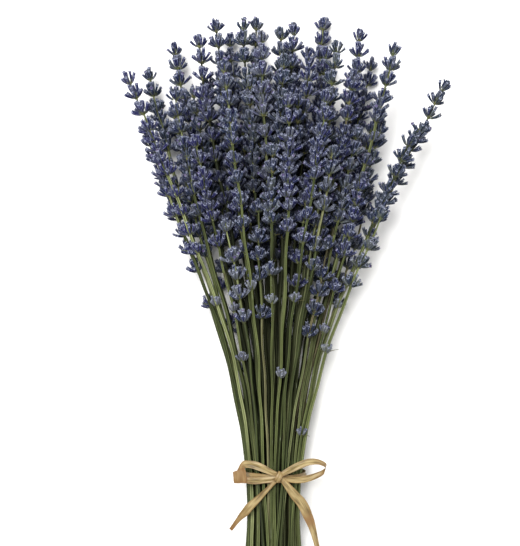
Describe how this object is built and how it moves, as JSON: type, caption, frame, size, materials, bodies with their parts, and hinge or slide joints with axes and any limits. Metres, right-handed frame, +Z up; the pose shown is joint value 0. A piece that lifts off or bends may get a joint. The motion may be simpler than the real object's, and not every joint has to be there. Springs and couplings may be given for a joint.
{
  "type": "bunch of dried lavender",
  "caption": "Bunch of dried lavender lying flat: slender square stems bound near their cut ends by a raffia bow, fanning out into spikes of blue-grey floret whorls.",
  "frame": {"origin": "middle of the bunch in X and Y, on the surface that it lies on", "axes": "+Y along the stems from the cut ends to the flower tips, +Z up from the surface, +X to the right as seen from above with the flowers farther away"},
  "size_m": [0.2262, 0.4094, 0.0784],
  "materials": {
    "stem": "dry, matt, finely ridged",
    "floret": "dry, matt, softly downy",
    "raffia": "dry, satin, with fine lengthwise fibres"
  },
  "bodies": {
    "root": {"stems_01": "stem", "stems_02": "stem", "stems_03": "stem", "stems_04": "stem", "stems_05": "stem", "stems_06": "stem", "stems_07": "stem", "stems_08": "stem", "stems_09": "stem", "stems_10": "stem", "stems_11": "stem", "stems_12": "stem", "stems_13": "stem", "stems_14": "stem", "stems_15": "stem", "stems_16": "stem", "stems_17": "stem", "stems_18": "stem", "stems_19": "stem", "stems_20": "stem", "stems_21": "stem", "stems_22": "stem", "stems_23": "stem", "stems_24": "stem", "stems_25": "stem", "heads_01": "floret", "heads_02": "floret", "heads_03": "floret", "heads_04": "floret", "heads_05": "floret", "heads_06": "floret", "heads_07": "floret", "heads_08": "floret", "heads_09": "floret", "heads_10": "floret", "heads_11": "floret", "heads_12": "floret", "heads_13": "floret", "heads_14": "floret", "heads_15": "floret", "heads_16": "floret", "heads_17": "floret", "heads_18": "floret", "heads_19": "floret", "heads_20": "floret", "heads_21": "floret", "heads_22": "floret", "heads_23": "floret", "heads_24": "floret", "heads_25": "floret", "raffia_tie": "raffia"}
  },
  "joints": []
}
